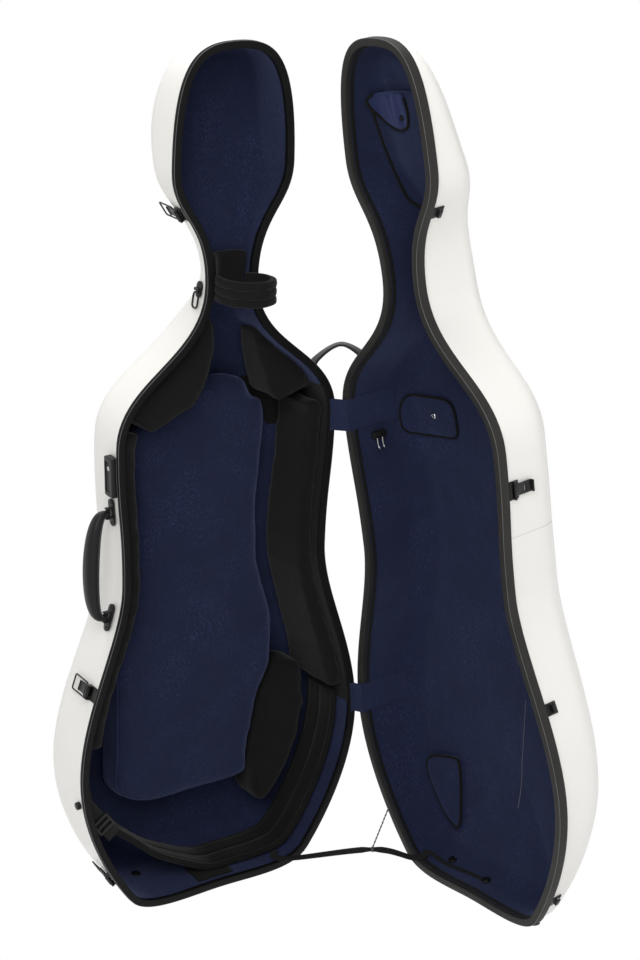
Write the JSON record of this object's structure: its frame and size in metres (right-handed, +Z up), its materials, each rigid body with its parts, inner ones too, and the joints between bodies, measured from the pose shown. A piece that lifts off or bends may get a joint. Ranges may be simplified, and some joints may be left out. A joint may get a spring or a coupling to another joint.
{
  "type": "cello hard case",
  "caption": "Hinged hard shell case shaped for a cello, standing open, with padded plush interior, draw latches, lock and carry handle.",
  "frame": {"origin": "middle of the standing case's footprint, on the floor under its feet", "axes": "+Z up, +X from the carry-handle side towards the hinge side of the base, +Y from the open mouth into the base's depth"},
  "size_m": [0.6118, 0.6636, 1.3209],
  "materials": {
    "shell": "satin warm white lacquer with a fine dimpled texture",
    "rim": "dark satin rubber trim",
    "plush": "navy crushed plush",
    "foam": "matt black covered foam",
    "webbing": "woven black webbing",
    "elastic": "grey twisted elastic cord",
    "black_metal": "satin black coating",
    "wire": "black coated wire",
    "black_plastic": "moulded black plastic",
    "steel": "brushed",
    "handle": "stitched black leathercloth over a core",
    "rubber": "matt"
  },
  "bodies": {
    "base": {"base_shell": "shell", "base_rim": "rim", "base_lining": "plush", "back_cushion": "plush", "side_pad_open": "foam", "shoulder_pad_open": "foam", "side_pad_hinge": "foam", "shoulder_pad_hinge": "foam", "lower_pad_hinge": "foam", "suspension_band": "foam", "band_webbing": "webbing", "band_buckle": "black_plastic", "neck_cradle": "foam", "neck_strap": "foam", "latch_bottom_plate": "black_metal", "latch_lower_plate": "black_metal", "latch_neck_plate": "black_metal", "latch_top_plate": "black_metal", "lock_body": "black_metal", "handle_bracket_lower": "black_metal", "handle_bracket_upper": "black_metal", "strap_plate": "black_metal", "strap_stud": "rubber", "hinge_lower_base": "steel", "hinge_upper_base": "steel", "hinge_cover_lower": "plush", "hinge_cover_upper": "plush", "rear_handle": "handle", "stay_strap": "webbing", "stay_elastic": "elastic", "base_foot_open": "rubber", "base_foot_hinge": "rubber"},
    "lid": {"lid_shell": "shell", "lid_rim": "rim", "lid_lining": "plush", "catch_bottom": "black_metal", "catch_lower": "black_metal", "catch_neck": "black_metal", "catch_top": "black_metal", "hasp_plate": "black_metal", "hinge_lower_lid": "steel", "hinge_upper_lid": "steel", "pouch": "plush", "bow_flap": "plush", "bow_pocket": "plush", "bow_clip": "black_plastic", "lid_foot_open": "rubber", "lid_foot_hinge": "rubber"},
    "carry_handle": {"carry_handle": "handle"},
    "hasp_arm": {"hasp_arm": "black_metal"},
    "strap_ring": {"strap_ring": "black_metal"},
    "bow_spinner": {"bow_spinner": "steel"},
    "latch_bottom_lever": {"latch_bottom_lever": "black_metal"},
    "latch_bottom_bail": {"latch_bottom_bail": "wire"},
    "latch_lower_lever": {"latch_lower_lever": "black_metal"},
    "latch_lower_bail": {"latch_lower_bail": "wire"},
    "latch_neck_lever": {"latch_neck_lever": "black_metal"},
    "latch_neck_bail": {"latch_neck_bail": "wire"},
    "latch_top_lever": {"latch_top_lever": "black_metal"},
    "latch_top_bail": {"latch_top_bail": "wire"}
  },
  "joints": [
    {"name": "lid_hinge", "type": "hinge", "parent": "base", "child": "lid", "pos_m": [0.19439, 0.16884, 0.27253], "axis": [0.1107, 0.1039, -0.9884], "range_deg": [0, 88.9], "deforming": ["hinge_cover_lower", "hinge_cover_upper", "stay_strap", "stay_elastic", "rear_handle", "neck_strap"]},
    {"name": "latch_bottom_lever_hinge", "type": "hinge", "parent": "base", "child": "latch_bottom_lever", "pos_m": [-0.24342, 0.21988, 0.06246], "axis": [-0.5501, -0.0925, 0.83], "range_deg": [0, 170]},
    {"name": "latch_bottom_bail_hinge", "type": "hinge", "parent": "latch_bottom_lever", "child": "latch_bottom_bail", "pos_m": [-0.24197, 0.22864, 0.06439], "axis": [0.5501, 0.0925, -0.83], "range_deg": [-80, 3]},
    {"name": "latch_lower_lever_hinge", "type": "hinge", "parent": "base", "child": "latch_lower_lever", "pos_m": [-0.28064, 0.18599, 0.38485], "axis": [0.3172, -0.1164, 0.9412], "range_deg": [0, 170]},
    {"name": "latch_lower_bail_hinge", "type": "hinge", "parent": "latch_lower_lever", "child": "latch_lower_bail", "pos_m": [-0.27892, 0.1949, 0.38537], "axis": [-0.3172, 0.1164, -0.9412], "range_deg": [-80, 3]},
    {"name": "latch_neck_lever_hinge", "type": "hinge", "parent": "base", "child": "latch_neck_lever", "pos_m": [-0.13345, 0.11296, 1.07969], "axis": [-0.5524, -0.0531, 0.8319], "range_deg": [0, 170]},
    {"name": "latch_neck_bail_hinge", "type": "hinge", "parent": "latch_neck_lever", "child": "latch_neck_bail", "pos_m": [-0.13181, 0.12176, 1.08134], "axis": [0.5524, 0.0531, -0.8319], "range_deg": [-80, 3]},
    {"name": "latch_top_lever_hinge", "type": "hinge", "parent": "base", "child": "latch_top_lever", "pos_m": [0.01747, 0.0905, 1.29332], "axis": [0.4421, 0.079, -0.8935], "range_deg": [0, 170]},
    {"name": "latch_top_bail_hinge", "type": "hinge", "parent": "latch_top_lever", "child": "latch_top_bail", "pos_m": [0.01596, 0.09946, 1.29337], "axis": [-0.4421, -0.079, 0.8935], "range_deg": [-80, 3]},
    {"name": "hasp_hinge", "type": "hinge", "parent": "lid", "child": "hasp_arm", "pos_m": [0.16014, -0.26756, 0.70369], "axis": [0.1074, 0.0225, -0.994], "range_deg": [0, 172]},
    {"name": "carry_handle_swing", "type": "hinge", "parent": "base", "child": "carry_handle", "pos_m": [-0.24748, 0.16763, 0.57618], "axis": [-0.024, 0.1049, -0.9942], "range_deg": [-60, 60]},
    {"name": "strap_ring_swing", "type": "hinge", "parent": "base", "child": "strap_ring", "pos_m": [-0.10206, 0.12092, 0.97015], "axis": [0.0529, 0.9931, 0.1044], "range_deg": [0, 165]},
    {"name": "bow_spinner_turn", "type": "hinge", "parent": "lid", "child": "bow_spinner", "pos_m": [0.19076, 0.0875, 0.71547], "axis": [-0.0842, -0.9961, 0.0269], "range_deg": [-90, 90]}
  ]
}
